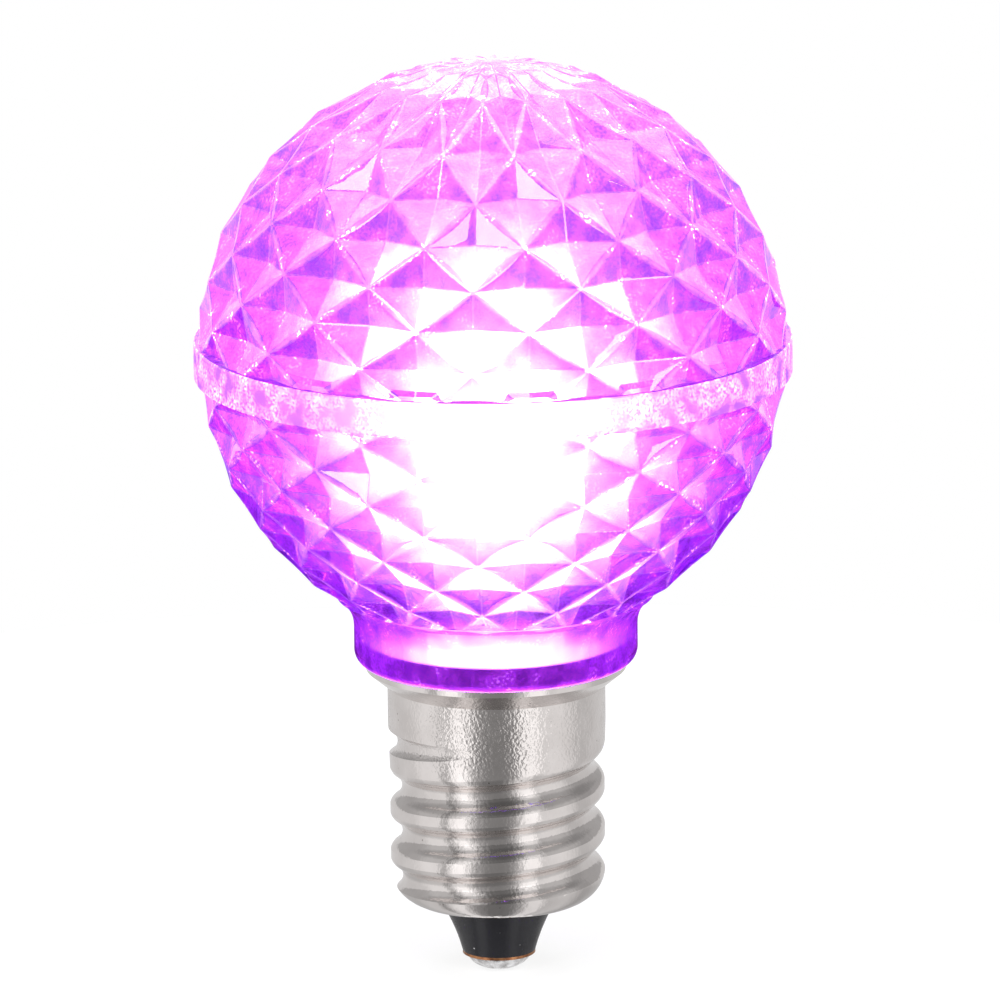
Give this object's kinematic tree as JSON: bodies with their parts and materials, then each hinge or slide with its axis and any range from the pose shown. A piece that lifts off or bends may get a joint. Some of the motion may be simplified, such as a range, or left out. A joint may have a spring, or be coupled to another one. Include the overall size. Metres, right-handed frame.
{
  "type": "led globe bulb",
  "caption": "Small decorative LED bulb: a clear violet faceted plastic globe with a smooth band round its middle, on a nickel candelabra screw base with a black insulator and a solder tip.",
  "frame": {"origin": "on the bulb's axis, at the top of the metal skirt's straight wall, where the lip starts to flare", "axes": "+Z along the axis from the screw base to the globe's pole, -Y towards the front of the bulb, +X to the right seen from the front"},
  "size_m": [0.0322, 0.0322, 0.0504],
  "materials": {
    "violet_plastic": "clear moulded plastic, violet tint, glossy",
    "nickel_plate": "satin nickel plate on sheet metal, glossy on the thread crests",
    "black_insulator": "glossy black vitreous insulator",
    "copper": "bare copper",
    "tin_solder": "scuffed tin solder",
    "board_white": "white solder mask",
    "lamp_housing": "white moulded package",
    "lamp_window": "clear resin, lit violet",
    "part_black": "black moulded package",
    "capacitor_sleeve": "dark blue shrink sleeve",
    "tinned_wire": "bright tinned wire"
  },
  "bodies": {
    "root": {"globe_dome": "violet_plastic", "globe_bowl": "violet_plastic", "screw_shell": "nickel_plate", "cap_insulator": "black_insulator", "contact_eyelet": "copper", "contact_solder": "tin_solder", "base_board": "board_white", "lamp_post": "board_white", "led_housing_right_1": "lamp_housing", "led_housing_right_2": "lamp_housing", "led_housing_back_1": "lamp_housing", "led_housing_back_2": "lamp_housing", "led_housing_left_1": "lamp_housing", "led_housing_left_2": "lamp_housing", "led_housing_front_1": "lamp_housing", "led_housing_front_2": "lamp_housing", "led_window_right_1": "lamp_window", "led_window_right_2": "lamp_window", "led_window_back_1": "lamp_window", "led_window_back_2": "lamp_window", "led_window_left_1": "lamp_window", "led_window_left_2": "lamp_window", "led_window_front_1": "lamp_window", "led_window_front_2": "lamp_window", "bridge_rectifier": "part_black", "series_resistor": "part_black", "smoothing_capacitor": "capacitor_sleeve", "board_solder": "tin_solder", "side_lead": "tinned_wire", "centre_lead": "tinned_wire"}
  },
  "joints": []
}
